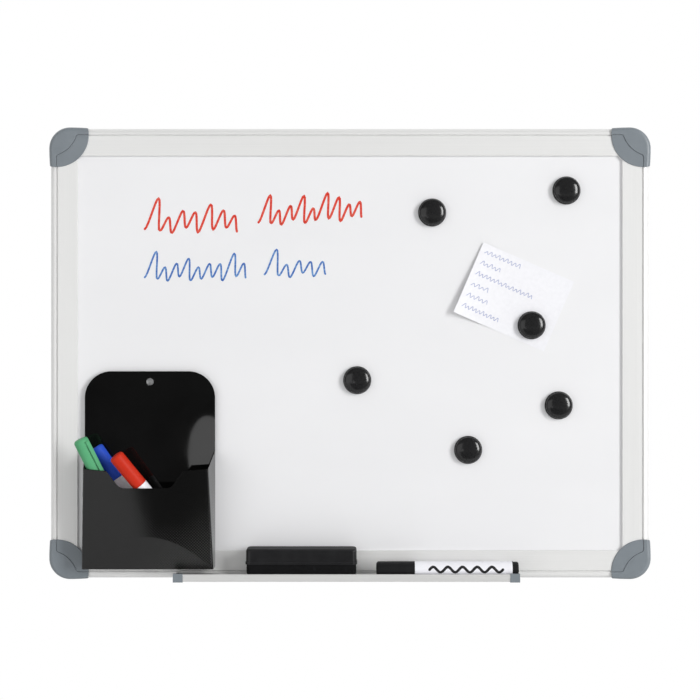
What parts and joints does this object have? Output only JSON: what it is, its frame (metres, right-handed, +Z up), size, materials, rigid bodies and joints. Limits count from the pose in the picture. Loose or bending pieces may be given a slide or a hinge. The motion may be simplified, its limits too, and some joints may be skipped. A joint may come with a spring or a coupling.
{
  "type": "magnetic whiteboard",
  "caption": "Framed wall whiteboard with a sliding pen tray, eraser, magnetic pen pocket, capped markers, round magnets and a paper note.",
  "frame": {"origin": "centre of the four wall fixing holes, on the wall plane behind the frame", "axes": "+X to the viewer's right, +Y into the wall, +Z up"},
  "size_m": [0.6024, 0.0596, 0.4528],
  "materials": {
    "white_lacquer": "glossy white lacquer on steel",
    "core_board": "plain",
    "backing_steel": "dull zinc",
    "anodised": "satin anodised",
    "grey_plastic": "fine satin",
    "tray_aluminium": "satin anodised",
    "eraser_black": "satin",
    "felt": "napped felt",
    "ferrite": "dull sintered",
    "pen_white": "glossy",
    "pen_black": "glossy",
    "pen_green": "glossy",
    "pen_blue": "glossy",
    "pen_red": "glossy",
    "nib_fibre": "ink-soaked fibre",
    "ink_fibre": "ink-soaked fibre",
    "pocket_sheet": "glossy with a fine diagonal grain",
    "magnet_rubber": "dull",
    "magnet_cap": "glossy",
    "note_paper": "plain"
  },
  "bodies": {
    "board": {"writing_sheet": "white_lacquer", "board_core": "core_board", "backing_sheet": "backing_steel", "frame_rail_top": "anodised", "frame_rail_bottom": "anodised", "frame_rail_left": "anodised", "frame_rail_right": "anodised", "corner_bracket_tl": "grey_plastic", "corner_bracket_tr": "grey_plastic", "corner_bracket_bl": "grey_plastic", "corner_bracket_br": "grey_plastic"},
    "tray": {"tray_rail": "tray_aluminium", "tray_end_cap_left": "grey_plastic", "tray_end_cap_right": "grey_plastic"},
    "eraser": {"eraser_felt": "felt", "eraser_base": "eraser_black", "eraser_cover": "eraser_black", "eraser_magnet": "magnet_rubber"},
    "black_cap": {"black_marker_cap": "pen_black"},
    "black_pen": {"black_marker_barrel": "pen_white", "black_marker_end_plug": "pen_black", "black_marker_nib": "nib_fibre", "black_marker_ink_reservoir": "ink_fibre"},
    "pocket": {"pocket_back": "pocket_sheet", "pocket_pouch": "pocket_sheet", "pocket_magnet_strips": "magnet_rubber"},
    "note": {"note_sheet": "note_paper"},
    "cover_tl": {"corner_cover_tl": "grey_plastic"},
    "cover_tr": {"corner_cover_tr": "grey_plastic"},
    "cover_bl": {"corner_cover_bl": "grey_plastic"},
    "cover_br": {"corner_cover_br": "grey_plastic"},
    "green_pen": {"green_marker_barrel": "pen_white", "green_marker_end_plug": "pen_green", "green_marker_nib": "nib_fibre", "green_marker_ink_reservoir": "ink_fibre"},
    "green_cap": {"green_marker_cap": "pen_green"},
    "blue_pen": {"blue_marker_barrel": "pen_white", "blue_marker_end_plug": "pen_blue", "blue_marker_nib": "nib_fibre", "blue_marker_ink_reservoir": "ink_fibre"},
    "blue_cap": {"blue_marker_cap": "pen_blue"},
    "red_pen": {"red_marker_barrel": "pen_white", "red_marker_end_plug": "pen_red", "red_marker_nib": "nib_fibre", "red_marker_ink_reservoir": "ink_fibre"},
    "red_cap": {"red_marker_cap": "pen_red"},
    "magnet_a": {"magnet_a_cap": "magnet_cap", "magnet_a_disc": "ferrite"},
    "magnet_b": {"magnet_b_cap": "magnet_cap", "magnet_b_disc": "ferrite"},
    "magnet_c": {"magnet_c_cap": "magnet_cap", "magnet_c_disc": "ferrite"},
    "magnet_d": {"magnet_d_cap": "magnet_cap", "magnet_d_disc": "ferrite"},
    "magnet_e": {"magnet_e_cap": "magnet_cap", "magnet_e_disc": "ferrite"},
    "magnet_f": {"magnet_f_cap": "magnet_cap", "magnet_f_disc": "ferrite"}
  },
  "joints": [
    {"name": "tray_slide", "type": "slide", "parent": "board", "child": "tray", "axis": [1, 0, 0], "range_m": [-0.03, 0.093]},
    {"name": "eraser_lift", "type": "slide", "parent": "tray", "child": "eraser", "axis": [0, 0, 1], "range_m": [0, 0.1]},
    {"name": "black_marker_lift", "type": "slide", "parent": "tray", "child": "black_cap", "axis": [0, 0, 1], "range_m": [0, 0.1]},
    {"name": "black_barrel_pull", "type": "slide", "parent": "black_cap", "child": "black_pen", "axis": [1, 0, 0], "range_m": [0, 0.045]},
    {"name": "pocket_slide", "type": "slide", "parent": "board", "child": "pocket", "axis": [0, 0, 1], "range_m": [0, 0.12]},
    {"name": "green_marker_pull", "type": "slide", "parent": "pocket", "child": "green_pen", "axis": [-0.4195, -0.1498, 0.8953], "range_m": [0, 0.13]},
    {"name": "green_cap_pull", "type": "slide", "parent": "green_pen", "child": "green_cap", "axis": [-0.4195, -0.1498, 0.8953], "range_m": [0, 0.045]},
    {"name": "blue_marker_pull", "type": "slide", "parent": "pocket", "child": "blue_pen", "axis": [-0.5664, 0, 0.8241], "range_m": [0, 0.13]},
    {"name": "blue_cap_pull", "type": "slide", "parent": "blue_pen", "child": "blue_cap", "axis": [-0.5664, 0, 0.8241], "range_m": [0, 0.045]},
    {"name": "red_marker_pull", "type": "slide", "parent": "pocket", "child": "red_pen", "axis": [-0.6004, -0.1894, 0.7769], "range_m": [0, 0.13]},
    {"name": "red_cap_pull", "type": "slide", "parent": "red_pen", "child": "red_cap", "axis": [-0.6004, -0.1894, 0.7769], "range_m": [0, 0.045]},
    {"name": "cover_tl_pull", "type": "slide", "parent": "board", "child": "cover_tl", "axis": [0, -1, 0], "range_m": [0, 0.02]},
    {"name": "cover_tr_pull", "type": "slide", "parent": "board", "child": "cover_tr", "axis": [0, -1, 0], "range_m": [0, 0.02]},
    {"name": "cover_bl_pull", "type": "slide", "parent": "board", "child": "cover_bl", "axis": [0, -1, 0], "range_m": [0, 0.02]},
    {"name": "cover_br_pull", "type": "slide", "parent": "board", "child": "cover_br", "axis": [0, -1, 0], "range_m": [0, 0.02]},
    {"name": "magnet_a_slide", "type": "slide", "parent": "board", "child": "magnet_a", "axis": [1, 0, 0], "range_m": [-0.2, 0.1]},
    {"name": "magnet_b_slide", "type": "slide", "parent": "board", "child": "magnet_b", "axis": [1, 0, 0], "range_m": [-0.1, 0.041]},
    {"name": "magnet_d_slide", "type": "slide", "parent": "board", "child": "magnet_d", "axis": [1, 0, 0], "range_m": [-0.125, 0.17]},
    {"name": "magnet_e_slide", "type": "slide", "parent": "board", "child": "magnet_e", "axis": [1, 0, 0], "range_m": [-0.155, 0.049]},
    {"name": "magnet_f_slide", "type": "slide", "parent": "board", "child": "magnet_f", "axis": [1, 0, 0], "range_m": [-0.236, 0.139]},
    {"name": "note_slide", "type": "slide", "parent": "board", "child": "note", "axis": [1, 0, 0], "range_m": [-0.22, 0.045]},
    {"name": "magnet_c_pull", "type": "slide", "parent": "note", "child": "magnet_c", "axis": [0, -1, 0], "range_m": [0, 0.03]}
  ]
}
